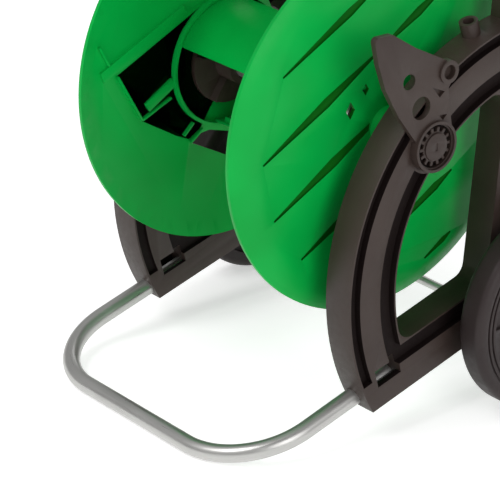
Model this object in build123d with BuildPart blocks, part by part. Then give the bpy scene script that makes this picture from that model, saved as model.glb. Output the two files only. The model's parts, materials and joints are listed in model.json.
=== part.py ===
from build123d import *
from math import cos, radians, sin, tan
import os

# Garden hose reel cart: two moulded side frames carry a green hose drum on bushes, a bent
# steel tube makes the front foot, two wheels run on stub axles at the rear, and a push handle
# slides in the columns.
# X runs across the cart, with the crank on -X. Y runs to the rear. Z is up. Side shapes are
# drawn in (Y, Z) as seen from +X, measured from the drum axis.

# ---- driving dimensions (mm) ----
flange_radius = 200.0
drum_clearance = 116.0  # from the floor to the flanges' lowest points
flange_face = 131.0  # outer face of a flange, from the middle plane
flange_wall = 4.5
rim_band = 18.0  # radial width of the flange's bevelled edge
rim_set = 8.0  # how far the bevelled edge leans towards the barrel
groove_depth = 2.5

barrel_radius = 71.0
barrel_wall = 3.0
slat_sweep = 80.0  # degrees of the barrel that one slat covers
slat_first = 76.0  # degrees, where the first slat starts

journal_radius = 22.0
core_radius = 12.0
core_wall = 2.5
tie_rod_radius = 4.0
tie_rod_circle = 58.0

frame_inner = 160.0  # inner face of a side frame, from the middle plane
frame_thickness = 36.0
arc_y = 150.0  # centre of the frame's front arc
arc_z = -150.0
arc_radius = 254.0
arc_band = 62.0
rib_outer = 240.0
rib_inner = 213.0
bar_tilt = 15.4  # degrees, the base bar rises to the rear
bar_height = 56.0
ledge_height = 34.0  # thick lower part of the bar, below the sunk face
bar_clearance = 57.0  # from the floor to the bar's underside, at Y = 0
column_front = 103.0  # front of the column at the drum axis height
column_depth = 50.0
column_lean = 5.7  # degrees, to the rear
column_top = 180.0
window_corner = 16.0

tube_radius = 9.5
tube_wall = 1.25
foot_half_width = 173.0
foot_reach = 225.0  # front bar, in front of the drum axis
foot_bend = 88.0
foot_tube_end = 40.0  # Y of the foot tube's ends inside the base bars

handle_half_width = 178.0
handle_bar_height = 545.0  # grip bar above the drum axis
handle_bend = 70.0
handle_overlap = 90.0  # length of leg left in the column
handle_travel = 200.0
grip_radius = 15.0
grip_length = 190.0

wheel_radius = 112.0
wheel_width = 34.0
wheel_y = 138.0
wheel_inner = 216.0
wheel_boss = 20.0
wheel_boss_inner = 201.0
axle_radius = 6.0
axle_boss_radius = 38.0

plate_thickness = 7.0
plate_ring_wall = 5.0  # around the journal
plate_ring_rise = 3.0
bush_wall = 4.5
screw_radius = 2.5

cross_rod_radius = 5.0
cross_rod_y = 95.0
cross_rod_height = 101.5  # above the floor

union_wall = 11.0
union_length = 28.0
crank_radius = 115.0
crank_thickness = 12.0
crank_grip_radius = 14.0
crank_grip_length = 92.0
crank_pin_radius = 5.0

knob_radius = 19.0
knob_thickness = 14.0
knob_below_top = 28.0
clamp_screw_radius = 4.0

running_gap = 0.05  # radial play of every turning or sliding fit
seat_gap = 0.05  # radial play of fits between fixed pieces
face_gap = 0.5  # side play beside the wheels, the drum and the knobs

# ---- worked-out dimensions ----
drum_height = flange_radius + drum_clearance  # drum axis above the floor
bar_underside = bar_clearance - drum_height  # measured from the drum axis, as all heights here
cross_rod_level = cross_rod_height - drum_height
plate_ring_radius = journal_radius + plate_ring_wall
union_radius = journal_radius + union_wall
frame_outer = frame_inner + frame_thickness
plate_outer = frame_outer + plate_thickness
ring_outer = plate_outer + plate_ring_rise
flange_inner_face = flange_face - flange_wall
journal_end = frame_outer + 3  # the right journal ends inside the bearing plate's ring
flange_disc = flange_radius - rim_band
bush_outer = journal_radius + running_gap + bush_wall
bar_slope = tan(radians(bar_tilt))
bar_rise = bar_height / cos(radians(bar_tilt))
column_slope = tan(radians(column_lean))
column_axis = column_front + column_depth / 2
arc_inner = arc_radius - arc_band
wheel_drop = wheel_radius - drum_height
wheel_outer = wheel_inner + wheel_width
foot_drop = tube_radius - drum_height
core_bore = core_radius + seat_gap
union_start = ring_outer + face_gap
union_end = union_start + union_length
crank_start = union_end + 2 * face_gap
crank_end = crank_start + crank_thickness

drum_axis = Axis((0, 0, drum_height), (1, 0, 0))
pieces = {}


def keep(name, part):
    """Label a finished piece and remember it under its node name."""
    part.label = name
    pieces[name] = part


def keep_mirrored(name, part):
    """The same piece on the other side of the cart."""
    with BuildPart() as other:
        mirror(part, about=Plane.YZ)
    keep(name, other.part)


def side_plane(x):
    """Side view plane at a given X: local x is Y, local y is Z, origin on the drum axis."""
    return Plane(origin=(x, 0, drum_height), x_dir=(0, 1, 0), z_dir=(1, 0, 0))


def profile_plane():
    """Plane for turned profiles: local x is X, local y is the radius from the drum axis."""
    return Plane(origin=(0, 0, drum_height), x_dir=(1, 0, 0), z_dir=(0, -1, 0))


def wheel_plane():
    """Plane for turned wheel profiles: local y is the radius from the wheel axis."""
    return Plane(origin=(0, wheel_y, drum_height + wheel_drop), x_dir=(1, 0, 0), z_dir=(0, -1, 0))


def bar_bottom(y):
    return bar_underside + bar_slope * y


def bar_top(y):
    return bar_bottom(y) + bar_rise


def column_face(z):
    """Y of the column's front face at a height."""
    return column_front + column_slope * z


def polar(radius, angle):
    return (radius * cos(radians(angle)), radius * sin(radians(angle)))


def rings(x_start, x_end, inner, outer):
    """Profile rectangle of a ring between two X values and two radii."""
    with Locations(((x_start + x_end) / 2, (inner + outer) / 2)):
        Rectangle(abs(x_end - x_start), outer - inner)


# ---- side frames ----
def frame_shape():
    """Outline of a side frame: front arc, base bar, column and wheel boss, all filled in."""
    far = 400.0
    column_base = bar_bottom(column_axis)
    with Locations((arc_y, arc_z)):
        Circle(arc_radius)
    # keep the part of the disc above the bar's underside and in front of the column's back
    front_part = [
        (-far, bar_bottom(-far)),
        (column_face(column_base) + column_depth, bar_bottom(column_face(column_base) + column_depth)),
        (column_face(far) + column_depth, far),
        (-far, far),
    ]
    Polygon(*front_part, align=None, mode=Mode.INTERSECT)
    column = [
        (column_face(column_base), column_base),
        (column_face(column_base) + column_depth, column_base),
        (column_face(column_top) + column_depth, column_top),
        (column_face(column_top), column_top),
    ]
    Polygon(*column, align=None)
    bar_end = wheel_y + 20
    bar = [
        (0, bar_bottom(0)),
        (bar_end, bar_bottom(bar_end)),
        (bar_end, bar_top(bar_end)),
        (0, bar_top(0)),
    ]
    Polygon(*bar, align=None)
    with Locations((wheel_y, wheel_drop)):
        Circle(axle_boss_radius)


def frame_window():
    """The D-shaped opening between arc, bar and column."""
    far = 400.0
    corner_y = (column_front + column_slope * bar_top(0)) / (1 - column_slope * bar_slope)
    opening = [
        (-far, bar_top(-far)),
        (corner_y, bar_top(corner_y)),
        (column_face(far), far),
        (-far, far),
    ]
    with Locations((arc_y, arc_z)):
        Circle(arc_inner)
    Polygon(*opening, align=None, mode=Mode.INTERSECT)


def ledge(y):
    """Height of the ledge along the bar's side, at a given Y."""
    return bar_bottom(y) + ledge_height / cos(radians(bar_tilt))


def sunk_zone():
    """Area of the side face above the ledge and in front of the column."""
    far = 400.0
    return [
        (-far, ledge(-far)),
        (column_face(0), ledge(column_face(0))),
        (column_face(far), far),
        (-far, far),
    ]


foot_direction = (0, cos(radians(bar_tilt)), sin(radians(bar_tilt)))
column_direction = (0, sin(radians(column_lean)), cos(radians(column_lean)))


def foot_axis_point(y, x):
    """A point on the foot tube's side run at a given Y."""
    rise = bar_slope * (y + foot_reach)
    return (x, y, drum_height + foot_drop + rise)


def column_axis_point(z, x):
    """A point on the column's axis at a height above the drum axis."""
    return (x, column_axis + column_slope * z, drum_height + z)


groove_cut = 8.0
inner_cut = 5.0
edge_lip = 2.0
hub_pad = bush_outer + 4  # solid boss left around the bush
screw_pad = 7.0  # and around each plate screw
slot_length = 32.0
slot_y = -41.0
slot_sill = 24.0  # above the bar's underside
slot_floor = 13.0  # the same between the two sills
slot_top = 44.0
screw_spots = [(4, 41), (-24, 27)]
clamp_height = column_top - knob_below_top

# round socket on the arc's outer surface, for a hose guide
socket_angle = 107.0  # degrees, seen from the arc's centre
socket_radius = 10.0
socket_bore = 6.0
socket_height = 15.0
socket_inset = 11.0  # from the frame's inner face


def groove_pads():
    """Keep the grooves away from the bush and the plate screws."""
    Circle(hub_pad, mode=Mode.SUBTRACT)
    with Locations(*screw_spots):
        Circle(screw_pad, mode=Mode.SUBTRACT)


def socket_plane(height):
    """Plane across the socket at a height above the arc's outer surface."""
    out_y, out_z = polar(1, socket_angle)
    reach = arc_radius + height
    centre = (frame_inner + socket_inset, arc_y + reach * out_y, drum_height + arc_z + reach * out_z)
    return Plane(origin=centre, z_dir=(0, out_y, out_z))


with BuildPart() as side_frame:
    with BuildSketch(side_plane(frame_inner)):
        frame_shape()
    extrude(amount=frame_thickness)
    with BuildSketch(socket_plane(socket_height)):
        Circle(socket_radius)
    extrude(amount=-socket_height - 2)
    with BuildSketch(socket_plane(socket_height)):
        Circle(socket_bore)
    extrude(amount=-socket_height, mode=Mode.SUBTRACT)
    with BuildSketch(side_plane(frame_inner)) as window:
        frame_window()
        fillet(window.vertices(), window_corner)
    extrude(amount=frame_thickness, mode=Mode.SUBTRACT)
    # sunk faces beside the arc's rib and above the bar's ledge, outside and inside
    band_start = arc_y - rib_inner
    band_end = wheel_y - axle_boss_radius - 6
    sunk_band = [
        (band_start, bar_top(band_start) - edge_lip),
        (band_end, bar_top(band_end) - edge_lip),
        (band_end, ledge(band_end)),
        (band_start, ledge(band_start)),
    ]
    for face_x, cut in [(frame_outer - groove_cut, groove_cut), (frame_inner, inner_cut)]:
        with BuildSketch(side_plane(face_x)):
            with Locations((arc_y, arc_z)):
                Circle(arc_radius - edge_lip)
                Circle(rib_outer, mode=Mode.SUBTRACT)
            Polygon(*sunk_zone(), align=None, mode=Mode.INTERSECT)
            groove_pads()
        extrude(amount=cut, mode=Mode.SUBTRACT)
        with BuildSketch(side_plane(face_x)):
            with Locations((arc_y, arc_z)):
                Circle(rib_inner)
                Circle(arc_inner + edge_lip, mode=Mode.SUBTRACT)
            Polygon(*sunk_zone(), align=None, mode=Mode.INTERSECT)
            groove_pads()
        extrude(amount=cut, mode=Mode.SUBTRACT)
        with BuildSketch(side_plane(face_x)):
            with Locations((arc_y, arc_z)):
                Circle(rib_inner)
            Polygon(*sunk_band, align=None, mode=Mode.INTERSECT)
        extrude(amount=cut, mode=Mode.SUBTRACT)
    # boss around the drum's bush
    with BuildSketch(side_plane(frame_inner)):
        Circle(hub_pad)
    extrude(amount=frame_thickness)
    # seat of the drum's bush
    with BuildSketch(side_plane(frame_inner)):
        Circle(bush_outer + seat_gap)
    extrude(amount=frame_thickness, mode=Mode.SUBTRACT)
    # socket for the foot tube, open at the front
    with BuildSketch(Plane(origin=foot_axis_point(foot_tube_end, foot_half_width), z_dir=foot_direction)):
        Circle(tube_radius + seat_gap)
    extrude(amount=-2 * foot_reach, mode=Mode.SUBTRACT)
    # bore for the handle leg, open at the top
    bore_floor = column_axis_point(column_top - handle_overlap - handle_travel - 15, handle_half_width)
    with BuildSketch(Plane(origin=bore_floor, z_dir=column_direction)):
        Circle(tube_radius + running_gap)
    extrude(amount=2 * column_top + handle_travel, mode=Mode.SUBTRACT)
    # slot under the ledge that shows the foot tube, deeper between its two sills
    slot_middle = Location((slot_y, bar_bottom(slot_y), 0), (0, 0, bar_tilt))
    slot_side = (Align.CENTER, Align.MIN)
    with BuildSketch(side_plane(frame_inner)):
        with Locations(slot_middle * Location((0, slot_sill, 0))):
            Rectangle(slot_length, slot_top - slot_sill, align=slot_side)
    extrude(amount=frame_thickness, mode=Mode.SUBTRACT)
    with BuildSketch(side_plane(frame_inner + inner_cut)):
        with Locations(slot_middle * Location((0, slot_floor, 0))):
            Rectangle(slot_length, slot_top - slot_floor, align=slot_side)
    extrude(amount=frame_thickness - inner_cut - groove_cut, mode=Mode.SUBTRACT)
    # stub axle, cross rod, clamp screw and plate screws
    with BuildSketch(side_plane(frame_inner + 4)):
        with Locations((wheel_y, wheel_drop)):
            Circle(axle_radius + seat_gap)
    extrude(amount=frame_thickness, mode=Mode.SUBTRACT)
    with BuildSketch(side_plane(frame_inner)):
        with Locations((cross_rod_y, cross_rod_level)):
            Circle(cross_rod_radius + seat_gap)
    extrude(amount=frame_thickness - 8, mode=Mode.SUBTRACT)
    with BuildSketch(side_plane(handle_half_width)):
        with Locations((column_axis + column_slope * clamp_height, clamp_height)):
            Circle(clamp_screw_radius + running_gap)
    extrude(amount=frame_thickness, mode=Mode.SUBTRACT)
    with BuildSketch(side_plane(frame_inner)):
        with Locations(*screw_spots):
            Circle(screw_radius + seat_gap)
    extrude(amount=frame_thickness, mode=Mode.SUBTRACT)
    with BuildSketch(side_plane(frame_inner)):
        with Locations(*screw_spots):
            Circle(2 * screw_radius + 0.5)
    extrude(amount=4, mode=Mode.SUBTRACT)
keep("side_frame_right", side_frame.part)
keep_mirrored("side_frame_left", side_frame.part)

# ---- bearing plates, bushes and their screws ----
plate_outline = [
    (-84, 132),
    (-60, 131),
    (-30, 111),
    (13, 88),
    (26, 74),
    (16, 58),
    (17, 46),
    (24, 8),
    (-24, 8),
    (-50, 43),
    (-68, 75),
    (-78, 104),
]
plate_boss = (14.6, 76)
plate_boss_radius = 12.0
plate_boss_bore = 7.5
plate_boss_rise = 3.0
plate_recess = 4.0
plate_holes = [(-37.2, 77, 8), (-20, 45.5, 12)]  # Y, Z and radius
with BuildPart() as bearing_plate:
    with BuildSketch(side_plane(frame_outer)) as plate_face:
        Polygon(*plate_outline, align=None)
        fillet(plate_face.vertices(), 5)
        Circle(plate_ring_radius)
        with Locations(plate_boss):
            Circle(plate_boss_radius)
        for hole_y, hole_z, hole_radius in plate_holes:
            with Locations((hole_y, hole_z)):
                Circle(hole_radius, mode=Mode.SUBTRACT)
    extrude(amount=plate_thickness)
    with BuildSketch(side_plane(plate_outer)):
        Circle(plate_ring_radius)
        Circle(plate_ring_radius - 3, mode=Mode.SUBTRACT)
    extrude(amount=plate_ring_rise)
    with BuildSketch(side_plane(plate_outer)):
        with Locations(plate_boss):
            Circle(plate_boss_radius)
    extrude(amount=plate_boss_rise)
    with BuildSketch(side_plane(plate_outer - plate_recess)):
        with Locations(plate_boss):
            Circle(plate_boss_bore)
    extrude(amount=plate_recess + plate_boss_rise, mode=Mode.SUBTRACT)
    # three-cornered recesses in the neck of the plate
    with BuildSketch(side_plane(plate_outer - plate_recess)):
        Polygon((-6, 64), (11, 56), (4.5, 51), align=None)
        Polygon((4, 32), (15, 31), (10, 25.5), align=None)
    extrude(amount=plate_recess, mode=Mode.SUBTRACT)
    with BuildSketch(side_plane(frame_outer)):
        Circle(journal_radius + 0.5)
    extrude(amount=2 * plate_thickness, mode=Mode.SUBTRACT)
    with BuildSketch(side_plane(frame_outer)):
        with Locations(*screw_spots):
            Circle(screw_radius + seat_gap)
    extrude(amount=plate_thickness - 2, mode=Mode.SUBTRACT)
keep("bearing_plate_right", bearing_plate.part)
keep_mirrored("bearing_plate_left", bearing_plate.part)

with BuildPart() as bearing_bush:
    with BuildSketch(side_plane(frame_inner)):
        Circle(bush_outer)
        Circle(journal_radius + running_gap, mode=Mode.SUBTRACT)
    extrude(amount=frame_thickness)
    with BuildSketch(side_plane(frame_inner - 2)):
        Circle(bush_outer + 3)
        Circle(journal_radius + running_gap, mode=Mode.SUBTRACT)
    extrude(amount=2)
keep("bearing_bush_right", bearing_bush.part)
keep_mirrored("bearing_bush_left", bearing_bush.part)

with BuildPart() as plate_screws:
    with BuildSketch(side_plane(frame_inner + 1)):
        with Locations(*screw_spots):
            Circle(2 * screw_radius)
    extrude(amount=3)
    with BuildSketch(side_plane(frame_inner + 4)):
        with Locations(*screw_spots):
            Circle(screw_radius)
    extrude(amount=frame_thickness - 4 + plate_thickness - 2.5)
keep("plate_screws_right", plate_screws.part)
keep_mirrored("plate_screws_left", plate_screws.part)


# ---- bent tubes ----
def bent_tube(plane, half_width, leg, bend):
    """U-shaped tube in a plane whose local y points along its legs."""
    with BuildPart() as tube:
        with BuildLine(plane) as path:
            corners = [(half_width, leg), (half_width, 0), (-half_width, 0), (-half_width, leg)]
            FilletPolyline(*corners, radius=bend)
        with BuildSketch(Plane(origin=path.line @ 0, z_dir=path.line % 0)):
            Circle(tube_radius)
            Circle(tube_radius - tube_wall, mode=Mode.SUBTRACT)
        sweep()
    return tube.part


foot_plane = Plane(
    origin=(0, -foot_reach, drum_height + foot_drop),
    x_dir=(1, 0, 0),
    z_dir=(0, -sin(radians(bar_tilt)), cos(radians(bar_tilt))),
)
foot_leg = (foot_tube_end + foot_reach) / cos(radians(bar_tilt)) - 1
keep("foot_tube", bent_tube(foot_plane, foot_half_width, foot_leg, foot_bend))

handle_plane = Plane(
    origin=column_axis_point(handle_bar_height, 0),
    x_dir=(1, 0, 0),
    z_dir=(0, cos(radians(column_lean)), -sin(radians(column_lean))),
)
handle_leg = (handle_bar_height - column_top) / cos(radians(column_lean)) + handle_overlap
keep("handle_tube", bent_tube(handle_plane, handle_half_width, handle_leg, handle_bend))

with BuildPart() as handle_grip:
    bar_centre = column_axis_point(handle_bar_height, -grip_length / 2)
    with BuildSketch(Plane(origin=bar_centre, x_dir=(0, 1, 0), z_dir=(1, 0, 0))):
        Circle(grip_radius)
        Circle(tube_radius + seat_gap, mode=Mode.SUBTRACT)
    extrude(amount=grip_length)
    grip_rims = handle_grip.edges().filter_by(GeomType.CIRCLE).group_by(SortBy.RADIUS)[-1]
    fillet(grip_rims, 3)
keep("handle_grip", handle_grip.part)

leg_bottom = column_axis_point(column_top - handle_overlap * cos(radians(column_lean)), handle_half_width)
with BuildPart() as handle_plug:
    with BuildSketch(Plane(origin=leg_bottom, z_dir=column_direction)):
        Circle(tube_radius - tube_wall - seat_gap)
    extrude(amount=12)
    with BuildSketch(Plane(origin=leg_bottom, z_dir=column_direction)):
        Circle(tube_radius - 0.5)
    extrude(amount=-3)
keep("handle_plug_right", handle_plug.part)
keep_mirrored("handle_plug_left", handle_plug.part)

collar_height = 14.0
collar_radius = 16.0
with BuildPart() as tube_collar:
    collar_base = column_axis_point(column_top, handle_half_width)
    with BuildSketch(Plane(origin=collar_base, z_dir=(0, 0, 1))):
        Circle(collar_radius + 2)
    with BuildSketch(Plane(origin=collar_base, z_dir=(0, 0, 1)).offset(collar_height)):
        Circle(collar_radius - 2)
    loft()
    with BuildSketch(Plane(origin=collar_base, z_dir=column_direction)):
        Circle(tube_radius + running_gap)
    extrude(amount=3 * collar_height, both=True, mode=Mode.SUBTRACT)
keep("tube_collar_right", tube_collar.part)
keep_mirrored("tube_collar_left", tube_collar.part)

with BuildPart() as cross_rod:
    rod_half = frame_outer - 8.5
    with BuildSketch(side_plane(-rod_half)):
        with Locations((cross_rod_y, cross_rod_level)):
            Circle(cross_rod_radius)
    extrude(amount=2 * rod_half)
keep("cross_rod", cross_rod.part)

# ---- clamp knobs that hold the handle legs ----
knob_centre = (column_axis + column_slope * clamp_height, clamp_height)
knob_start = frame_outer + face_gap
with BuildPart() as clamp_knob:
    with BuildSketch(side_plane(knob_start)):
        with Locations(knob_centre):
            Circle(knob_radius - 5)
            with PolarLocations(knob_radius - 5, 5):
                Circle(5)
    extrude(amount=knob_thickness)
    fillet(clamp_knob.faces().sort_by(Axis.X)[-1].edges(), 1.5)
    with BuildSketch(side_plane(knob_start)):
        with Locations(knob_centre):
            Circle(clamp_screw_radius + seat_gap)
    extrude(amount=knob_thickness - 4, mode=Mode.SUBTRACT)
keep("clamp_knob_right", clamp_knob.part)
keep_mirrored("clamp_knob_left", clamp_knob.part)

with BuildPart() as clamp_screw:
    screw_tip = handle_half_width + tube_radius + 0.6
    with BuildSketch(side_plane(screw_tip)):
        with Locations(knob_centre):
            Circle(clamp_screw_radius)
    extrude(amount=knob_start + knob_thickness - 5 - screw_tip)
keep("clamp_screw_right", clamp_screw.part)
keep_mirrored("clamp_screw_left", clamp_screw.part)

# ---- wheels and stub axles ----
wheel_axis = Axis((0, wheel_y, drum_height + wheel_drop), (1, 0, 0))
with BuildPart() as wheel:
    with BuildSketch(wheel_plane()) as tread:
        rings(wheel_inner, wheel_outer, 30, wheel_radius)
        fillet(tread.vertices().group_by(Axis.Y)[-1], 9)
        rings(wheel_boss_inner, wheel_outer + 3, 0, wheel_boss)
        rings(wheel_inner + 14, wheel_outer - 7, wheel_boss - 1, 31)
        # sunk faces, then two concentric grooves near the outer edge
        with Locations((wheel_outer, 60)):
            Rectangle(10, 58, mode=Mode.SUBTRACT)
        with Locations((wheel_inner, 62)):
            Rectangle(28, 66, mode=Mode.SUBTRACT)
        with Locations((wheel_outer, 99), (wheel_outer, 93.5)):
            Rectangle(4, 2.5, mode=Mode.SUBTRACT)
    revolve(axis=wheel_axis)
    with BuildSketch(side_plane(wheel_boss_inner)):
        with Locations((wheel_y, wheel_drop)):
            Circle(axle_radius + running_gap)
    extrude(amount=2 * wheel_width, mode=Mode.SUBTRACT)
    # eight ribs in the sunk outer face
    with BuildSketch(side_plane(wheel_outer - 5)):
        with Locations((wheel_y, wheel_drop)):
            with PolarLocations(54, 8):
                Rectangle(72, 4)
    extrude(amount=4)
keep("wheel_right", wheel.part)
keep_mirrored("wheel_left", wheel.part)

axle_end = wheel_outer + 12
with BuildPart() as stub_axle:
    with BuildSketch(side_plane(frame_inner + 4.5)):
        with Locations((wheel_y, wheel_drop)):
            Circle(axle_radius)
    extrude(amount=axle_end - frame_inner - 4.5)
keep("stub_axle_right", stub_axle.part)
keep_mirrored("stub_axle_left", stub_axle.part)

with BuildPart() as axle_washer:
    with BuildSketch(side_plane(frame_outer)):
        with Locations((wheel_y, wheel_drop)):
            Circle(2.4 * axle_radius)
            Circle(axle_radius + seat_gap, mode=Mode.SUBTRACT)
    extrude(amount=2)
keep("axle_washer_right", axle_washer.part)
keep_mirrored("axle_washer_left", axle_washer.part)

cap_start = wheel_outer + 3 + face_gap
cap_radius = 15.0
with BuildPart() as wheel_cap:
    with BuildSketch(wheel_plane()) as cap_profile:
        rings(cap_start, axle_end + 3, 0, cap_radius)
        outer_corner = cap_profile.vertices().group_by(Axis.Y)[-1].sort_by(Axis.X)[-1]
        fillet(outer_corner, 4)
        with Locations((cap_start, 0)):
            Rectangle(2 * (axle_end + seat_gap - cap_start), 2 * (axle_radius + seat_gap), mode=Mode.SUBTRACT)
    revolve(axis=wheel_axis)
keep("wheel_cap_right", wheel_cap.part)
keep_mirrored("wheel_cap_left", wheel_cap.part)

# ---- drum: flanges ----
groove_tilt = 29.5  # degrees above the horizontal, rising to the rear
groove_pitch = 62.5
groove_first = 141.0  # distance of the top groove from the drum axis
groove_tip = 2.4  # width at the ends of a groove
# for each groove: row, front tip, widest place, rear tip, all along the groove, and width
groove_list = [
    (0, -78, 20, 78, 10),
    (1, -142, -48, 34, 12),
    (1, 34, 92, 142, 11),
    (2, -161, -72, 17, 12),
    (3, -155, -84, -26, 11),
    (4, -112, 20, 46, 10),
    (5, -30, 0, 12, 7),
]


def wedge(row, tip, widest, tail, width):
    """Spindle-shaped outline of one flange groove, in side view coordinates."""
    along_y, along_z = polar(1, groove_tilt)
    offset = groove_first - row * groove_pitch

    def spot(s, d):
        return (s * along_y - d * along_z, s * along_z + d * along_y)

    outline = [
        spot(tip, offset + groove_tip / 2),
        spot(widest, offset + width / 2),
        spot(tail, offset + groove_tip / 2),
        spot(tail, offset - groove_tip / 2),
        spot(widest, offset - width / 2),
        spot(tip, offset - groove_tip / 2),
    ]
    Polygon(*outline, align=None)


def rim_profile(side):
    """Bevelled edge of a flange, leaning from its outer face towards the barrel."""
    outer = side * flange_face
    edge = side * (flange_face - rim_set)
    wall = side * flange_wall
    outline = [
        (outer, flange_disc),
        (edge, flange_radius),
        (edge - wall, flange_radius),
        (outer - wall, flange_disc),
    ]
    Polygon(*outline, align=None)


def tie_rod_spots():
    return PolarLocations(tie_rod_circle, 2, start_angle=tie_rod_angle)


tie_rod_angle = slat_first + slat_sweep / 2  # the rods run behind the middles of the slats
rod_socket_radius = 2 * tie_rod_radius
rod_socket_depth = 12.0
seat_height = 6.0
seat_wall = 4.0
seat_inner = barrel_radius + 0.2
seat_outer = barrel_radius + seat_wall
journal_bore_end = journal_end - 4
cap_head_radius = 14.5
cap_tooth_radius = 20.0
cap_teeth = 14
with BuildPart() as flange_right:
    with BuildSketch(profile_plane()):
        # disc with its bevelled edge, journal, and the ring that holds the barrel slats
        rings(flange_inner_face, flange_face, core_bore, flange_disc)
        rim_profile(1)
        rings(flange_inner_face, journal_end, core_bore, journal_radius)
        rings(flange_inner_face - seat_height, flange_inner_face, seat_inner, seat_outer)
    revolve(axis=drum_axis)
    # sockets for the tie rods
    with BuildSketch(side_plane(flange_inner_face - rod_socket_depth)):
        with tie_rod_spots():
            Circle(rod_socket_radius)
    extrude(amount=rod_socket_depth)
    with BuildSketch(side_plane(flange_inner_face - rod_socket_depth)):
        with tie_rod_spots():
            Circle(tie_rod_radius + seat_gap)
    extrude(amount=rod_socket_depth, mode=Mode.SUBTRACT)
    with BuildSketch(side_plane(flange_face - groove_depth)):
        for groove in groove_list:
            wedge(*groove)
        Circle(journal_radius + 2, mode=Mode.SUBTRACT)
    extrude(amount=groove_depth, mode=Mode.SUBTRACT)
    # two diamond-shaped holes
    with BuildSketch(side_plane(flange_inner_face)):
        for middle_y, middle_z, half_width, half_height in [(-49, 28.3, 6, 9.6), (-29, 46.3, 4.3, 6.5)]:
            diamond = [
                (middle_y - half_width, middle_z),
                (middle_y, middle_z + half_height),
                (middle_y + half_width, middle_z),
                (middle_y, middle_z - half_height),
            ]
            Polygon(*diamond, align=None)
    extrude(amount=flange_wall, mode=Mode.SUBTRACT)
    # seat of the cap in the journal's end
    with BuildSketch(side_plane(journal_bore_end)):
        Circle(cap_head_radius + 0.1)
    extrude(amount=10, mode=Mode.SUBTRACT)
keep("flange_right", flange_right.part)

with BuildPart() as hub_cap:
    with BuildSketch(profile_plane()):
        rings(journal_bore_end, ring_outer - 0.5, 0, cap_head_radius)
        rings(journal_bore_end - 18, journal_bore_end, 0, core_radius)
    revolve(axis=drum_axis)
    # teeth around the head, and a coin slot
    with BuildSketch(side_plane(journal_end + 0.1)):
        Circle(cap_head_radius + 1.5)
        with PolarLocations((cap_head_radius + cap_tooth_radius) / 2, cap_teeth):
            Rectangle(cap_tooth_radius - cap_head_radius + 1, 3.4)
    extrude(amount=plate_outer - journal_end)
    with BuildSketch(side_plane(ring_outer - 1.5)):
        Rectangle(3, 8)
    extrude(amount=2, mode=Mode.SUBTRACT)
keep("hub_cap", hub_cap.part)

# the left flange has windows around the barrel seat and carries the crank and the water inlet
spigot_half = 13.0
port_radius = 4.0
# all outlines are on the inner face, and each is repeated half a turn further on
window_outlines = [
    [(-112, -45), (-69, -73), (-55, -62), (-63, -46), (-70, -34), (-83, -29)],
    [(-51, -85), (2, -114), (9, -87), (-24, -77), (-36, -78)],
]
pocket_outlines = [
    [(-146, 13), (-119, -36), (-104, -18), (-83, 0), (-80, 10), (-80, 28), (-84, 42), (-98, 36)],
    [(-121, -27), (-113, -21), (-107, -34), (-116, -39)],
    [(-60, -73), (-49, -65), (-40, -74), (-52, -81)],
]
pocket_depth = 2.5
# raised ribs: start, end, width and height
rib_list = [
    ((-168, 17), (-57, 68), 12, 3),
    ((-110, -30), (-74, -9), 11, 3),
    ((-148, 14), (-117, -42), 2.4, 4),
    ((-117, -42), (-78, -26), 2.4, 4),
    ((-61, -74), (-48, -62), 2.4, 4),
    ((-52, -84), (-35, -72), 2.4, 4),
    ((-171, 52), (-159, 29), 2.4, 4),
]


def half_turns(outline):
    """An outline as it is and turned half a turn about the drum axis."""
    return [outline, [(-y, -z) for y, z in outline]]


def strip(start, end, width):
    """Corners of a straight rib between two points."""
    run_y, run_z = end[0] - start[0], end[1] - start[1]
    length = (run_y**2 + run_z**2) ** 0.5
    side_y, side_z = -run_z / length * width / 2, run_y / length * width / 2
    return [
        (start[0] + side_y, start[1] + side_z),
        (start[0] - side_y, start[1] - side_z),
        (end[0] - side_y, end[1] - side_z),
        (end[0] + side_y, end[1] + side_z),
    ]


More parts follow.
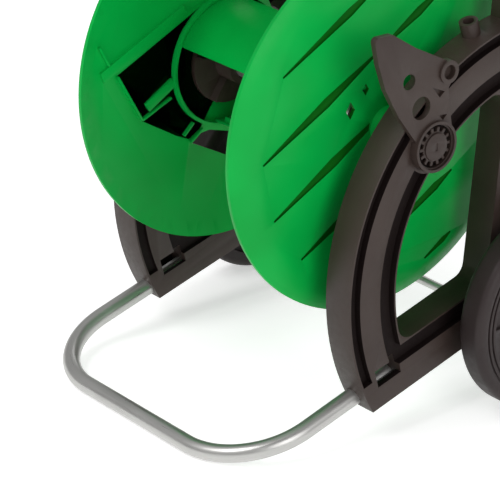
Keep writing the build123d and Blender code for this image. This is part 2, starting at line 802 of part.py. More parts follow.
with BuildPart() as flange_left:
    with BuildSketch(profile_plane()):
        rings(-flange_face, -flange_inner_face, core_bore, flange_disc)
        rim_profile(-1)
        rings(-union_end - face_gap, -flange_inner_face, core_bore, journal_radius)
        rings(-flange_inner_face, seat_height - flange_inner_face, seat_inner, seat_outer)
    revolve(axis=drum_axis)
    with BuildSketch(side_plane(-flange_inner_face)):
        with tie_rod_spots():
            Circle(rod_socket_radius)
    extrude(amount=rod_socket_depth)
    with BuildSketch(side_plane(-flange_inner_face)):
        with tie_rod_spots():
            Circle(tie_rod_radius + seat_gap)
    extrude(amount=rod_socket_depth, mode=Mode.SUBTRACT)
    # ribs on the inner face, outside the ring for the slats
    for rib_start, rib_end, rib_width, rib_height in rib_list:
        with BuildSketch(side_plane(-flange_inner_face)):
            for outline in half_turns(strip(rib_start, rib_end, rib_width)):
                Polygon(*outline, align=None)
            Circle(seat_outer - 1, mode=Mode.SUBTRACT)
        extrude(amount=rib_height)
    # pockets beside the ribs, then the windows
    with BuildSketch(side_plane(-flange_inner_face - pocket_depth)):
        for pocket in pocket_outlines:
            for outline in half_turns(pocket):
                Polygon(*outline, align=None)
        Circle(seat_outer + 1, mode=Mode.SUBTRACT)
    extrude(amount=pocket_depth, mode=Mode.SUBTRACT)
    with BuildSketch(side_plane(-flange_face)):
        for window_outline in window_outlines:
            for outline in half_turns(window_outline):
                Polygon(*outline, align=None)
        Circle(seat_outer + 1, mode=Mode.SUBTRACT)
    extrude(amount=flange_wall, mode=Mode.SUBTRACT)
    # square spigot for the crank, with a screw hole, and closed end of the water way
    spigot_start = -union_end - face_gap
    with BuildSketch(side_plane(spigot_start)):
        Circle(journal_radius)
        Circle(screw_radius + seat_gap, mode=Mode.SUBTRACT)
    extrude(amount=3)
    with BuildSketch(side_plane(spigot_start)):
        Rectangle(2 * spigot_half, 2 * spigot_half)
        Circle(screw_radius + seat_gap, mode=Mode.SUBTRACT)
    extrude(amount=-(crank_end + spigot_start))
    # radial water ports under the inlet union
    port_x = -(union_start + union_end) / 2
    port_plane = Plane(origin=(port_x, 0, drum_height), z_dir=(0, 0, 1))
    with BuildSketch(port_plane):
        Circle(port_radius)
    extrude(amount=journal_radius + 1, both=True, mode=Mode.SUBTRACT)
    across_plane = Plane(origin=(port_x, 0, drum_height), z_dir=(0, 1, 0))
    with BuildSketch(across_plane):
        Circle(port_radius)
    extrude(amount=journal_radius + 1, both=True, mode=Mode.SUBTRACT)
keep("flange_left", flange_left.part)


# ---- drum: barrel, rods and core ----
def slat(first_angle):
    """One curved slat of the barrel."""
    reach = 2 * barrel_radius
    with BuildPart() as one_slat:
        with BuildSketch(side_plane(-flange_inner_face + seat_gap)):
            Circle(barrel_radius)
            Circle(barrel_radius - barrel_wall, mode=Mode.SUBTRACT)
            last_angle = first_angle + slat_sweep
            middle = first_angle + slat_sweep / 2
            wedge_points = [(0, 0), polar(reach, first_angle), polar(reach, middle), polar(reach, last_angle)]
            Polygon(*wedge_points, align=None, mode=Mode.INTERSECT)
        extrude(amount=2 * (flange_inner_face - seat_gap))
        # stiffening ribs along both edges, inside
        with BuildSketch(side_plane(-flange_inner_face + 14)):
            for angle in (first_angle + 3, last_angle - 3):
                with Locations(Location((*polar(barrel_radius - barrel_wall - 3, angle), 0), (0, 0, angle))):
                    Rectangle(7, 3)
        extrude(amount=2 * (flange_inner_face - 14))
    return one_slat.part


keep("barrel_slat_front", slat(slat_first))
keep("barrel_slat_back", slat(slat_first + 180))

with BuildPart() as tie_rods:
    with BuildSketch(side_plane(-flange_inner_face + seat_gap)):
        with tie_rod_spots():
            Circle(tie_rod_radius)
    extrude(amount=2 * (flange_inner_face - seat_gap))
keep("tie_rods", tie_rods.part)

core_half = flange_face + 20
with BuildPart() as core_tube:
    with BuildSketch(side_plane(-core_half)):
        Circle(core_radius)
        Circle(core_radius - core_wall, mode=Mode.SUBTRACT)
    extrude(amount=2 * core_half)
    outlet_x = 40.0
    with BuildSketch(Plane(origin=(outlet_x, 0, drum_height), z_dir=(0, 1, 0))):
        Circle(port_radius)
    extrude(amount=2 * core_radius, mode=Mode.SUBTRACT)
keep("core_tube", core_tube.part)

collar_width = 16.0
collar_disc = 6.0  # thickness of the collar's broad disc
hub_collar_radius = tie_rod_circle - rod_socket_radius - 2
collar_hub = 20.0
collar_ribs = 5
with BuildPart() as core_collar:
    with BuildSketch(profile_plane()):
        rings(flange_inner_face - collar_disc, flange_inner_face - seat_gap, core_bore, hub_collar_radius)
        rings(flange_inner_face - 2 * collar_width, flange_inner_face - seat_gap, core_bore, collar_hub)
    revolve(axis=drum_axis)
    with BuildSketch(side_plane(flange_inner_face - collar_width)):
        with PolarLocations((hub_collar_radius + collar_hub) / 2, collar_ribs, start_angle=20):
            Rectangle(hub_collar_radius - collar_hub, 3)
    extrude(amount=collar_width - seat_gap)
keep("core_collar_right", core_collar.part)
keep_mirrored("core_collar_left", core_collar.part)

# outlet for the hose end: a saddle on the core tube and a nozzle towards the rear gap
saddle_radius = 19.0
nozzle_reach = 46.0
with BuildPart() as outlet_elbow:
    with BuildSketch(side_plane(outlet_x - 16)):
        Circle(saddle_radius)
    extrude(amount=32)
    with BuildSketch(Plane(origin=(outlet_x, 0, drum_height), z_dir=(0, 1, 0))):
        Circle(11)
    extrude(amount=nozzle_reach)
    with BuildSketch(side_plane(outlet_x - 16)):
        Circle(core_bore)
    extrude(amount=32, mode=Mode.SUBTRACT)
    with BuildSketch(Plane(origin=(outlet_x, 0, drum_height), z_dir=(0, 1, 0))):
        Circle(6)
    extrude(amount=nozzle_reach, mode=Mode.SUBTRACT)
keep("outlet_elbow", outlet_elbow.part)


def nipple(base, direction):
    """Male quick-connector nipple: hexagon, neck with a seal groove, and a stepped end."""
    steps = [(0, 6, 12.5), (6, 9, 8.5), (15, 2, 7.2), (17, 4, 8.5), (21, 6, 6.5)]
    with BuildPart() as part:
        for start, length, radius in steps:
            with BuildSketch(Plane(origin=base, z_dir=direction).offset(start)):
                if start == 0:
                    RegularPolygon(radius, 6)
                else:
                    Circle(radius)
            extrude(amount=length)
        with BuildSketch(Plane(origin=base, z_dir=direction)):
            Circle(5)
        extrude(amount=40, mode=Mode.SUBTRACT)
    return part.part


keep("outlet_nipple", nipple((outlet_x, nozzle_reach + seat_gap, drum_height), (0, 1, 0)))

# ---- water inlet: a fixed union around the left journal ----
inlet_angle = -20.0
inlet_reach = 52.0
inlet_direction = (0, cos(radians(inlet_angle)), sin(radians(inlet_angle)))
union_middle = -(union_start + union_end) / 2
inlet_tip = (
    union_middle,
    inlet_reach * inlet_direction[1],
    drum_height + inlet_reach * inlet_direction[2],
)
seal_section = 2.5
with BuildPart() as inlet_union:
    with BuildSketch(side_plane(-union_start)):
        Circle(union_radius)
    extrude(amount=-union_length)
    fillet(inlet_union.faces().sort_by(Axis.X)[0].edges(), 2)
    with BuildSketch(Plane(origin=(union_middle, 0, drum_height), z_dir=inlet_direction)):
        Circle(11)
    extrude(amount=inlet_reach)
    with BuildSketch(side_plane(-union_start)):
        Circle(journal_radius + running_gap)
    extrude(amount=-union_length, mode=Mode.SUBTRACT)
    with BuildSketch(Plane(origin=(union_middle, 0, drum_height), z_dir=inlet_direction)):
        Circle(6)
    extrude(amount=inlet_reach, mode=Mode.SUBTRACT)
    # grooves for the two seals
    for seal_x in (-union_start - 6, -union_end + 6):
        with BuildSketch(side_plane(seal_x - seal_section / 2)):
            Circle(journal_radius + seal_section + 0.1)
        extrude(amount=seal_section, mode=Mode.SUBTRACT)
keep("inlet_union", inlet_union.part)
keep("inlet_nipple", nipple(inlet_tip, inlet_direction))

with BuildPart() as union_seals:
    for seal_x in (-union_start - 6, -union_end + 6):
        with BuildSketch(side_plane(seal_x - seal_section / 2 + 0.05)):
            Circle(journal_radius + seal_section)
            Circle(journal_radius + running_gap, mode=Mode.SUBTRACT)
        extrude(amount=seal_section - 0.1)
keep("union_seals", union_seals.part)

# ---- crank ----
arm_end_radius = 13.0
crank_hub_radius = 24.0
with BuildPart() as crank_arm:
    with BuildSketch(side_plane(-crank_end)):
        Circle(crank_hub_radius)
        with Locations((0, -crank_radius)):
            Circle(arm_end_radius)
        tip_half = arm_end_radius - 1
        web = [(-18, -12), (18, -12), (tip_half, -crank_radius), (-tip_half, -crank_radius)]
        Polygon(*web, align=None)
    extrude(amount=crank_thickness)
    fillet(crank_arm.faces().sort_by(Axis.X)[0].edges(), 2)
    # long recess in the arm's outer face
    with BuildSketch(side_plane(-crank_end)):
        with Locations((0, -crank_radius / 2 - 4)):
            SlotOverall(52, 13, rotation=90)
    extrude(amount=3, mode=Mode.SUBTRACT)
    with BuildSketch(side_plane(-crank_end)):
        Rectangle(2 * (spigot_half + seat_gap), 2 * (spigot_half + seat_gap))
        with Locations((0, -crank_radius)):
            Circle(crank_pin_radius + seat_gap)
    extrude(amount=crank_thickness, mode=Mode.SUBTRACT)
keep("crank_arm", crank_arm.part)

with BuildPart() as crank_screw:
    with BuildSketch(side_plane(-crank_end - 3)):
        Circle(16)
    extrude(amount=3)
    fillet(crank_screw.faces().sort_by(Axis.X)[0].edges(), 1.2)
    with BuildSketch(side_plane(-crank_end)):
        Circle(screw_radius)
    extrude(amount=crank_thickness)
    with BuildSketch(side_plane(-crank_end - 3)):
        RegularPolygon(4, 6)
    extrude(amount=2, mode=Mode.SUBTRACT)
keep("crank_screw", crank_screw.part)

grip_start = crank_end + face_gap
grip_end = grip_start + crank_grip_length
grip_axis = Axis((0, 0, drum_height - crank_radius), (1, 0, 0))
grip_plane = Plane(origin=(0, 0, drum_height - crank_radius), x_dir=(1, 0, 0), z_dir=(0, -1, 0))
with BuildPart() as crank_pin:
    with BuildSketch(grip_plane):
        rings(-grip_end - 3, -crank_start - 0.5, 0, crank_pin_radius)
        rings(-grip_end - 3, -grip_end - face_gap, 0, 9)
    revolve(axis=grip_axis)
keep("crank_pin", crank_pin.part)

with BuildPart() as crank_grip:
    with BuildSketch(grip_plane):
        with BuildLine():
            bore = crank_pin_radius + running_gap
            end_radius = crank_grip_radius - 3
            middle_x = -(grip_start + grip_end) / 2
            bevel = 2.0
            far_end = -grip_end + bevel
            near_end = -grip_start - bevel
            crown = (middle_x, crank_grip_radius)
            outer = ThreePointArc((far_end, end_radius), crown, (near_end, end_radius))
            outline = [
                outer @ 1,
                (-grip_start, end_radius - bevel),
                (-grip_start, bore),
                (-grip_end, bore),
                (-grip_end, end_radius - bevel),
                outer @ 0,
            ]
            Polyline(*outline)
        make_face()
    revolve(axis=grip_axis)
keep("crank_grip", crank_grip.part)

# ---- place the origin on the floor, under the middle of the cart's box, and write ----
whole = Compound(pieces.values()).bounding_box()
to_origin = Location((-(whole.min.X + whole.max.X) / 2, -(whole.min.Y + whole.max.Y) / 2, -whole.min.Z))
os.makedirs("parts", exist_ok=True)
for name, part in pieces.items():
    placed = part.moved(to_origin)
    placed.label = name
    export_step(placed, f"parts/{name}.step")
print("pieces", len(pieces), "size", whole.size, "origin shift", to_origin.position)
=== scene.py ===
# %% [markdown]
# # Garden hose reel cart
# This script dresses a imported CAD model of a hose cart. The CAD gives every size and joint, and the
# script gives the looks. It goes piece by piece, and each piece has a short lesson before its code.
# All places are in metres: X runs across the cart, Y to the rear, Z up.

# %% Load the frame
import json
from math import cos, pi, radians, sin, sqrt, tan

import bmesh
import bpy
from mathutils import Matrix, Vector


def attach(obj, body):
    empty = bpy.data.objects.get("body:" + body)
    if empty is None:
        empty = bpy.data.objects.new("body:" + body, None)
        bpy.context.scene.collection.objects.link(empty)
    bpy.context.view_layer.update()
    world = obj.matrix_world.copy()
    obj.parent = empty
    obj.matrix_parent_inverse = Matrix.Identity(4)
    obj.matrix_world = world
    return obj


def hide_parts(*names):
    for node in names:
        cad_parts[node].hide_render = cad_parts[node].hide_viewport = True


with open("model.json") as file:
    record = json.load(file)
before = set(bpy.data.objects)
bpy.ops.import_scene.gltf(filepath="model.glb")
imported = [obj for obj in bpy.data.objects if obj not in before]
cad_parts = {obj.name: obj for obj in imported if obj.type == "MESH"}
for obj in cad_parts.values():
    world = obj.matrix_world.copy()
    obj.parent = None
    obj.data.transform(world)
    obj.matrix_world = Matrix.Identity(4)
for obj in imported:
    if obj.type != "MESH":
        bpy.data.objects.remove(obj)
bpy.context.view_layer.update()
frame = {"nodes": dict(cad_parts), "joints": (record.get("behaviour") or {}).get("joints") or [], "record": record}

joints = {joint["name"]: joint for joint in frame["joints"]}
drum = Vector(joints["drum_spin"]["pos_m"])
print("drum centre", [round(v, 4) for v in drum])

# %% [markdown]
# ## Small helpers
# Millimetres are easier to read for a piece that was designed in them, so `mm` turns them into
# metres. `side_point` gives a point from its X and its place in the side view, measured from the
# drum axis, which is how the frame and the flanges are drawn.

# %% Helpers for places
def mm(value):
    return value / 1000


def side_point(x, y, z):
    """Millimetres across from the middle, to the rear and up from the drum axis."""
    return Vector((drum.x + mm(x), drum.y + mm(y), drum.z + mm(z)))


# %% [markdown]
# ## Camera
# The view is a long lens from the front, to the right and above. A long lens keeps the two flanges
# nearly the same size. The camera sits about three metres away, off to the side of the drum, and
# looks slightly past it, so the drum lies up and to the left of the middle.

# %% Camera
view_azimuth = radians(50.47)
view_height = radians(24.24)
view_distance = 2.8375
lens = 195.13
view_back = Vector((
    sin(view_azimuth) * cos(view_height), -cos(view_azimuth) * cos(view_height), sin(view_height)
))
view_right = Vector((cos(view_azimuth), sin(view_azimuth), 0))
view_up = view_back.cross(view_right)
aim_right = 0.0548
aim_down = 0.1672
camera_data = bpy.data.cameras.new("camera")
camera_data.lens = lens
camera_data.sensor_width = 36
camera = bpy.data.objects.new("camera", camera_data)
turn = Matrix((view_right, view_up, view_back)).transposed().to_4x4()
place = drum + view_back * view_distance - view_right * aim_right - view_up * aim_down
camera.matrix_world = Matrix.Translation(place) @ turn
camera_data.clip_end = 100
bpy.context.scene.collection.objects.link(camera)
bpy.context.scene.camera = camera
print("camera at", [round(v, 3) for v in place])

# %% [markdown]
# ## Floor and light
# The object stands on a plain white floor that glows a little, as a sheet lit from below does, so
# that it has no grey shadow. Large, soft area lights and a pale sky give the even light of a product
# shot: one broad light from the upper left, one fill from the right, and one from behind to lift the
# edges.

# %% Floor, sky and lights
floor_mesh = bpy.data.meshes.new("floor")
floor_shape = bmesh.new()
bmesh.ops.create_grid(floor_shape, x_segments=1, y_segments=1, size=20)
floor_shape.to_mesh(floor_mesh)
floor_shape.free()
floor = bpy.data.objects.new("floor", floor_mesh)
bpy.context.scene.collection.objects.link(floor)
floor.location.z = -0.0005
floor_paint = bpy.data.materials.new("floor paint")
floor_paint.use_nodes = True
floor_shader = floor_paint.node_tree.nodes["Principled BSDF"]
floor_shader.inputs["Base Color"].default_value = (0.9, 0.9, 0.9, 1)
floor_shader.inputs["Roughness"].default_value = 0.9
floor_shader.inputs["Emission Color"].default_value = (1, 1, 1, 1)
floor_shader.inputs["Emission Strength"].default_value = 0.5
floor_mesh.materials.append(floor_paint)

sky = bpy.data.worlds.new("studio")
sky.use_nodes = True
sky.node_tree.nodes["Background"].inputs["Color"].default_value = (1, 1, 1, 1)
sky.node_tree.nodes["Background"].inputs["Strength"].default_value = 0.4
bpy.context.scene.world = sky
bpy.context.scene.view_settings.view_transform = "Standard"


def soft_light(name, spot, size, power):
    """A square lamp at a spot, turned to face the drum."""
    data = bpy.data.lights.new(name, "AREA")
    data.shape = "SQUARE"
    data.size = size
    data.energy = power
    lamp = bpy.data.objects.new(name, data)
    lamp.location = spot
    lamp.rotation_euler = (Vector(spot) - drum).to_track_quat("Z", "Y").to_euler()
    bpy.context.scene.collection.objects.link(lamp)


soft_light("key light", (-0.2, -2.4, 3.2), 2.0, 58)
soft_light("fill light", (3.2, -0.6, 1.6), 2.0, 43)
soft_light("back light", (-1.5, 3.0, 2.6), 2.0, 26)
print("lamps", len(bpy.data.lights))

# %% [markdown]
# ## Moulded plastic
# Most of the cart is moulded plastic. Real mouldings are never one flat colour: the pigment varies
# a little over a palm's width, the skin has a fine grain from the mould, and gloss changes where
# hands and dust have been. One helper builds all of that from noise, on Object coordinates, so the
# pattern stays with the piece. Each plastic then only gives its own colours and numbers.

# %% Node helpers
def new_material(name):
    """An empty node material: returns it with its tree, its shader and its object coordinates."""
    made = bpy.data.materials.new(name)
    made.use_nodes = True
    tree = made.node_tree
    shader = tree.nodes["Principled BSDF"]
    coordinates = tree.nodes.new("ShaderNodeTexCoord")
    return made, tree, shader, coordinates.outputs["Object"]


def noise(tree, where, scale, detail=3.0, stretch=(1, 1, 1)):
    """Noise at a scale in blobs per metre, stretched along the axes."""
    mapping = tree.nodes.new("ShaderNodeMapping")
    mapping.inputs["Scale"].default_value = stretch
    texture = tree.nodes.new("ShaderNodeTexNoise")
    texture.inputs["Scale"].default_value = scale
    texture.inputs["Detail"].default_value = detail
    tree.links.new(where, mapping.inputs["Vector"])
    tree.links.new(mapping.outputs["Vector"], texture.inputs["Vector"])
    return texture.outputs["Fac"]


def spread(tree, value, low, high):
    """Turn noise, which mostly lies between 0.3 and 0.7, into a range of numbers."""
    remap = tree.nodes.new("ShaderNodeMapRange")
    remap.inputs["From Min"].default_value = 0.3
    remap.inputs["From Max"].default_value = 0.7
    remap.inputs["To Min"].default_value = low
    remap.inputs["To Max"].default_value = high
    tree.links.new(value, remap.inputs["Value"])
    return remap.outputs["Result"]


def blend_colours(tree, share, first, second):
    """Mix two colours, or a socket and a colour, by a share from 0 to 1."""
    mix = tree.nodes.new("ShaderNodeMix")
    mix.data_type = "RGBA"
    for socket, colour in ((mix.inputs[6], first), (mix.inputs[7], second)):
        if isinstance(colour, tuple):
            socket.default_value = (*colour, 1)
        else:
            tree.links.new(colour, socket)
    tree.links.new(share, mix.inputs["Factor"])
    return mix.outputs[2]


def bumps(tree, shader, height, strength, distance):
    """Feed a height into the shader's normal."""
    bump = tree.nodes.new("ShaderNodeBump")
    bump.inputs["Strength"].default_value = strength
    bump.inputs["Distance"].default_value = distance
    tree.links.new(height, bump.inputs["Height"])
    tree.links.new(bump.outputs["Normal"], shader.inputs["Normal"])


def sum_of(tree, first, second, weight):
    """first + second * weight."""
    add = tree.nodes.new("ShaderNodeMath")
    add.operation = "MULTIPLY_ADD"
    add.inputs[1].default_value = weight
    tree.links.new(second, add.inputs[0])
    tree.links.new(first, add.inputs[2])
    return add.outputs["Value"]


def moulded_plastic(name, colour, deep, dust, gloss, grain, grain_height, shine=0.3):
    """Moulded plastic: colour drifting to a deeper tone, faint dust, mould grain and uneven gloss."""
    made, tree, shader, where = new_material(name)
    drift = spread(tree, noise(tree, where, 9.0, 2.0), 0.0, 1.0)
    toned = blend_colours(tree, drift, colour, deep)
    specks = noise(tree, where, 160.0, 5.0)
    dusty = spread(tree, noise(tree, where, 23.0, 4.0), 0.0, 0.16)
    tree.links.new(blend_colours(tree, dusty, toned, dust), shader.inputs["Base Color"])
    fine = spread(tree, specks, gloss - 0.05, gloss + 0.07)
    tree.links.new(fine, shader.inputs["Roughness"])
    shader.inputs["IOR"].default_value = 1.49
    shader.inputs["Specular IOR Level"].default_value = shine
    skin = sum_of(tree, noise(tree, where, grain, 2.0), noise(tree, where, 14.0, 1.0), 1.5)
    bumps(tree, shader, skin, 0.35, grain_height)
    return made


# %% The plastics
green = moulded_plastic(
    "green polypropylene",
    (0.0, 0.40, 0.058), (0.0, 0.31, 0.040), (0.004, 0.36, 0.06),
    0.36, 900, 0.0001, 0.14
)
# painted shade: a darker green for the grooves on the flanges' outer faces
painted_shade_green = moulded_plastic(
    "green with painted groove shade",
    (0.002, 0.11, 0.004), (0.0, 0.08, 0.003), (0.01, 0.15, 0.01),
    0.5, 900, 0.0001, 0.1
)
brown = moulded_plastic(
    "brown side frame plastic",
    (0.041, 0.027, 0.022), (0.029, 0.018, 0.015), (0.066, 0.050, 0.043),
    0.42, 1300, 0.0002
)
wheel_brown = moulded_plastic(
    "wheel plastic",
    (0.024, 0.016, 0.016), (0.017, 0.011, 0.011), (0.05, 0.037, 0.035),
    0.5, 800, 0.0002
)
black = moulded_plastic(
    "black plastic",
    (0.012, 0.011, 0.011), (0.008, 0.008, 0.008), (0.04, 0.038, 0.036),
    0.4, 1200, 0.0001
)
grey = moulded_plastic(
    "grey nipple plastic",
    (0.10, 0.10, 0.105), (0.08, 0.08, 0.085), (0.15, 0.15, 0.14),
    0.38, 1200, 0.0001
)
acetal = moulded_plastic(
    "white bush plastic",
    (0.68, 0.67, 0.62), (0.6, 0.59, 0.55), (0.5, 0.48, 0.43),
    0.3, 1200, 0.0001
)
# painted shade: a darker brown for the channels of the side frames and the ends of the journals
painted_shade_brown = moulded_plastic(
    "brown with painted shade",
    (0.010, 0.006, 0.0055), (0.007, 0.004, 0.004), (0.017, 0.012, 0.011),
    0.6, 1300, 0.0002, 0.1
)
rubber = moulded_plastic(
    "seal rubber",
    (0.006, 0.006, 0.006), (0.004, 0.004, 0.004), (0.03, 0.03, 0.028),
    0.6, 700, 0.0002
)
foam = moulded_plastic(
    "handle grip foam",
    (0.012, 0.012, 0.012), (0.008, 0.008, 0.008), (0.035, 0.034, 0.033),
    0.75, 420, 0.0012
)
print("plastics", len(bpy.data.materials))

# %% [markdown]
# ## Metal
# The tubes are light grey, brushed along their length. Brushing shows as long thin streaks in the
# roughness and in the bump, so the noise is stretched: small numbers along the tube, large ones
# across it. The foot and the handle run in several directions, so the streaks are kept fine and
# faint. Zinc plating on screws and pins has small cloudy crystals instead, which Voronoi cells give.

# %% The metals
def brushed_tube(name, colour):
    """Brushed metal: the streaks run along the tube, which is the second direction of its UV map."""
    made, tree, shader, where = new_material(name)
    along = tree.nodes.new("ShaderNodeTexCoord").outputs["UV"]
    streaks = noise(tree, along, 260.0, 3.0, (1, 0.06, 1))
    cloud = spread(tree, noise(tree, where, 14.0, 3.0), 0.0, 1.0)
    darker = tuple(0.88 * part for part in colour)
    tree.links.new(blend_colours(tree, cloud, colour, darker), shader.inputs["Base Color"])
    tree.links.new(spread(tree, streaks, 0.26, 0.42), shader.inputs["Roughness"])
    shader.inputs["Metallic"].default_value = 0.85
    bumps(tree, shader, streaks, 0.12, 0.0001)
    return made


def zinc_plate(name):
    made, tree, shader, where = new_material(name)
    cells = tree.nodes.new("ShaderNodeTexVoronoi")
    cells.inputs["Scale"].default_value = 420
    tree.links.new(where, cells.inputs["Vector"])
    tone = blend_colours(tree, cells.outputs["Distance"], (0.62, 0.61, 0.57), (0.47, 0.47, 0.45))
    tree.links.new(tone, shader.inputs["Base Color"])
    tree.links.new(spread(tree, noise(tree, where, 300.0), 0.28, 0.45), shader.inputs["Roughness"])
    shader.inputs["Metallic"].default_value = 1.0
    return made


def painted_rod(name):
    made, tree, shader, where = new_material(name)
    tone = blend_colours(tree, noise(tree, where, 40.0), (0.010, 0.010, 0.011), (0.022, 0.021, 0.02))
    tree.links.new(tone, shader.inputs["Base Color"])
    tree.links.new(spread(tree, noise(tree, where, 420.0), 0.25, 0.4), shader.inputs["Roughness"])
    return made


tube_metal = brushed_tube("brushed tube", (0.52, 0.515, 0.50))
zinc = zinc_plate("zinc plate")
black_steel = painted_rod("black painted steel")

# %% [markdown]
# ## Dressing the CAD pieces
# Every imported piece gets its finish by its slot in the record. A CAD mesh has knife-sharp edges, and
# no moulding has: an edge without a small round catches no light and looks like paper. So each
# hard-edged piece is copied, its loose triangles are merged and joined into flat faces, and a Bevel
# modifier rounds the edges by a stated width. The copy then stands for the CAD piece.

# %% Finish by slot
finishes = {
    "green_plastic": green,
    "brown_plastic": brown,
    "wheel_plastic": wheel_brown,
    "black_plastic": black,
    "steel_tube": tube_metal,
    "zinc_steel": zinc,
    "black_steel": black_steel,
    "bush_plastic": acetal,
    "nipple_plastic": grey,
    "seal_rubber": rubber,
    "grip_foam": foam,
}
slot_of = {part["node"]: part["material_slot"] for part in frame["record"]["subparts"]}
body_of = {node: body for body, nodes in frame["record"]["behaviour"]["bodies"].items() for node in nodes}
for node, thing in frame["nodes"].items():
    thing.data.materials.clear()
    thing.data.materials.append(finishes[slot_of[node]])
print("dressed", len(frame["nodes"]), "pieces")


# %% Softened copies
def smooth_faces(mesh, angle):
    """Smooth shading that keeps edges sharper than an angle, in degrees."""
    mesh.shade_smooth()
    mesh.set_sharp_from_angle(angle=radians(angle))


def place_piece(name, mesh, body, stands_for=()):
    """Put a finished mesh in the scene, riding on its body."""
    piece = bpy.data.objects.new(name, mesh)
    bpy.context.scene.collection.objects.link(piece)
    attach(piece, body)
    if stands_for:
        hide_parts(*stands_for)
    return piece


def round_edges(piece, width, segments, angle=35):
    """Round a piece's edges with a Bevel modifier, and bake it in, so that shading can follow it."""
    bevel = piece.modifiers.new("rounded edges", "BEVEL")
    bevel.width = mm(width)
    bevel.segments = segments
    bevel.limit_method = "ANGLE"
    bevel.angle_limit = radians(angle)
    bevel.miter_outer = "MITER_ARC"
    bevel.harden_normals = False
    graph = bpy.context.evaluated_depsgraph_get()
    rounded = bpy.data.meshes.new_from_object(piece.evaluated_get(graph))
    piece.modifiers.clear()
    old = piece.data
    piece.data = rounded
    bpy.data.meshes.remove(old)
    smooth_faces(piece.data, 50)


def soften(node, width, segments=2, flat=0.6):
    """A copy of a CAD piece with rounded edges, in its place."""
    source = frame["nodes"][node]
    shape = bmesh.new()
    shape.from_mesh(source.data)
    bmesh.ops.remove_doubles(shape, verts=shape.verts[:], dist=mm(0.01))
    bmesh.ops.dissolve_limit(shape, angle_limit=radians(flat), verts=shape.verts[:], edges=shape.edges[:])
    mesh = bpy.data.meshes.new(node + "_rounded")
    shape.to_mesh(mesh)
    shape.free()
    mesh.materials.append(finishes[slot_of[node]])
    piece = place_piece(node + "_rounded", mesh, body_of[node], (node,))
    round_edges(piece, width, segments)
    return piece


def paint_faces(piece, material, wanted):
    """Give another material to the faces whose middle and normal pass a test, in side view places."""
    mesh = piece.data
    mesh.materials.append(material)
    index = len(mesh.materials) - 1
    for face in mesh.polygons:
        place = (face.center - drum) * 1000
        if wanted(abs(place.x), place.y, place.z, face.normal):
            face.material_index = index


# %% [markdown]
# ## Side frames
# The two side frames are thick mouldings with a curved front leg. On both sides of a frame, two
# channels run round the leg with a flat rib between them, down to a ledge on the base bar, and a
# slot in the ledge shows the foot tube. Little light gets into a channel, so its shade is painted:
# its walls and floor get a darker brown than the faces.

# %% Side frames
# millimetres, in the side view measured from the drum's axis, and across from the drum's middle
frame_sides = (160, 196)
channel_floors = (165, 188)
leg_centre = (150, -150)
leg_edge = 252.5
channel_top = 130
channel_rear = 125
edge_clear = 1.3      # the rounded edge is left as it is
for side in ("right", "left"):
    leg = soften("side_frame_" + side, 1.1, 3)

    def painted_channel_shade(x, y, z, normal):
        from_centre = sqrt((y - leg_centre[0]) ** 2 + (z - leg_centre[1]) ** 2)
        deep = frame_sides[0] + edge_clear < x < frame_sides[1] - edge_clear
        on_floor = min(abs(x - floor) for floor in channel_floors) < 0.5 and abs(normal.x) > 0.5
        on_wall = x < channel_floors[0] or x > channel_floors[1]
        near = from_centre < leg_edge and z < channel_top and y < channel_rear
        return deep and (on_floor or on_wall) and near

    # the channel walls and floors get the darker brown: painted shade
    paint_faces(leg, painted_shade_brown, painted_channel_shade)
print("side frames softened")

# %% [markdown]
# ## Bearing plates and hub cap
# Each plate has a broad head, two round holes, a raised eye and a ring around the hub. The cap with
# its teeth sits in the ring.

# %% Bearing plates and hub cap
for side in ("right", "left"):
    soften("bearing_plate_" + side, 1.6, 4)
    soften("core_collar_" + side, 0.8)
    soften("tube_collar_" + side, 1.0)
soften("hub_cap", 0.5)
print("plates, collars and cap softened")

# %% [markdown]
# ## Drum
# The flanges are large thin discs with a bevelled edge. The grooves on their outer faces get a darker
# green than the flange: painted shade, like that in the channels of the frames. The ends of the journals,
# which turn in the bushes, get the darker brown: painted shade in the gap around the hub cap.

# %% Flanges and barrel
flange_face = 131
groove_floor, groove_mouth = 2.7, 0.6      # depths under that face
groove_reach = 181
journal_end, journal_reach = 190, 23
for side in ("right", "left"):
    disc = soften("flange_" + side, 0.7, 2)

    # the groove floors and walls get the darker green: painted shade
    def painted_groove_shade(x, y, z, normal):
        in_depth = flange_face - groove_floor < x < flange_face - groove_mouth
        return in_depth and sqrt(y * y + z * z) < groove_reach

    # the journal end faces get the darker brown: painted shade in the gap around the hub cap
    def painted_journal_shade(x, y, z, normal):
        return x > journal_end and sqrt(y * y + z * z) < journal_reach

    paint_faces(disc, painted_shade_green, painted_groove_shade)
    paint_faces(disc, painted_shade_brown, painted_journal_shade)
for node in ("barrel_slat_front", "barrel_slat_back"):
    soften(node, 0.8)
print("drum softened")

# %% [markdown]
# ## Wheels, crank and fittings
# The wheels are hollow mouldings with a rounded tread, two rings near the edge and eight ribs.

# %% Wheels, crank and fittings
for side in ("right", "left"):
    soften("wheel_" + side, 0.9)
    soften("wheel_cap_" + side, 0.6)
    soften("clamp_knob_" + side, 0.8, 3)
    soften("handle_plug_" + side, 0.4)
edge_widths = {
    "inlet_union": 1.0, "outlet_elbow": 0.8, "crank_arm": 1.0, "inlet_nipple": 0.4, "outlet_nipple": 0.4
}
for node, width in edge_widths.items():
    soften(node, width)
print("small fittings softened")

# %% [markdown]
# ## Bent tubes
# The foot and the handle are bent from the same round tube. Each is drawn as a ring of points moved
# along a path of two legs, two bends and a cross bar, with a UV map that runs round the tube and
# along it, so that the brushing follows every bend. The inside wall is drawn too: a tube is a skin
# with a thickness, and its open ends show it.

# %% Bent tubes
tube_radius = 9.5
tube_wall = 1.25


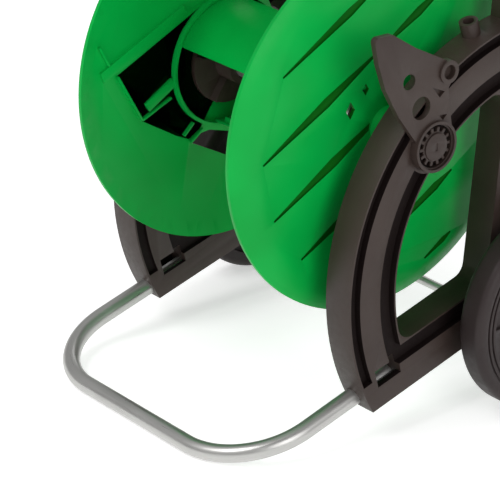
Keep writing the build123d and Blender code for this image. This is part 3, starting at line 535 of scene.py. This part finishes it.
def bent_path(half_width, leg, bend, steps):
    """Points (across, along the leg) and directions of a U, from one leg's end to the other."""
    path = [((half_width, leg), (0, -1))]
    for first, turn_x in ((0, 1), (90, -1)):
        centre = (turn_x * (half_width - bend), bend)
        for step in range(steps + 1):
            angle = radians(-first - 90 * step / steps)
            spot = (centre[0] + bend * cos(angle), centre[1] + bend * sin(angle))
            path.append((spot, (sin(angle), -cos(angle))))
    path.append(((-half_width, leg), (0, 1)))
    return path


def bent_tube(name, node, origin, leg_way, half_width, leg, bend):
    """A bent tube in the plane of X and the legs' direction."""
    around = 40
    across_way = Vector((1, 0, 0))
    level = across_way.cross(leg_way)
    shape = bmesh.new()
    uv = shape.loops.layers.uv.new("UVMap")
    walls = {}
    path = bent_path(half_width, leg, bend, 28)
    for radius, label in ((tube_radius, "outer"), (tube_radius - tube_wall, "inner")):
        rings = []
        for (x, along), (way_x, way_along) in path:
            middle = origin + mm(x) * across_way + mm(along) * leg_way
            side = (-way_along * across_way + way_x * leg_way).normalized()
            angles = [2 * pi * k / around for k in range(around)]
            rings.append([
                shape.verts.new(middle + mm(radius) * (cos(angle) * side + sin(angle) * level))
                for angle in angles
            ])
        walls[label] = rings
        travelled = 0.0
        for ring, following, spot, next_spot in zip(rings, rings[1:], path, path[1:]):
            (x, along), (next_x, next_along) = spot[0], next_spot[0]
            gap = mm(sqrt((x - next_x) ** 2 + (along - next_along) ** 2))
            for k in range(around):
                after = (k + 1) % around
                face = shape.faces.new((ring[k], ring[after], following[after], following[k]))
                reached = travelled + gap
                corners = ((k, travelled), (k + 1, travelled), (k + 1, reached), (k, reached))
                for loop, (turned, far) in zip(face.loops, corners):
                    loop[uv].uv = (turned / around * 0.06, far)
            travelled += gap
    outer_ends = (walls["outer"][0], walls["outer"][-1])
    inner_ends = (walls["inner"][0], walls["inner"][-1])
    for outer, inner in zip(outer_ends, inner_ends):
        for k in range(around):
            after = (k + 1) % around
            shape.faces.new((outer[k], outer[after], inner[after], inner[k]))
    bmesh.ops.recalc_face_normals(shape, faces=shape.faces[:])
    mesh = bpy.data.meshes.new(name)
    shape.to_mesh(mesh)
    shape.free()
    mesh.materials.append(tube_metal)
    smooth_faces(mesh, 50)
    return place_piece(name, mesh, body_of[node], (node,))


# the foot lies in the plane of the base bars, and the handle leans with the columns
bar_tilt = radians(15.4)
foot_front = -225      # the foot's cross bar, and the end of its legs, in the side view
foot_end = 40
end_gap = 1
floor_level = -316
foot_way = Vector((0, cos(bar_tilt), sin(bar_tilt)))
foot_start = side_point(0, foot_front, tube_radius + floor_level)
foot_leg = (foot_end - foot_front) / cos(bar_tilt) - end_gap
bent_tube("foot_tube_brushed", "foot_tube", foot_start, foot_way, 173, foot_leg, 88)

column_lean = radians(5.7)
column_middle = 128
handle_height = 545      # the grip bar, and the column's top, above the drum's axis
column_top = 180
handle_overlap = 90      # length of a leg inside the column
handle_way = Vector((0, -sin(column_lean), -cos(column_lean)))
handle_start = side_point(0, column_middle + handle_height * tan(column_lean), handle_height)
handle_leg = (handle_height - column_top) / cos(column_lean) + handle_overlap
bent_tube("handle_tube_brushed", "handle_tube", handle_start, handle_way, 178, handle_leg, 70)
print("tubes bent")
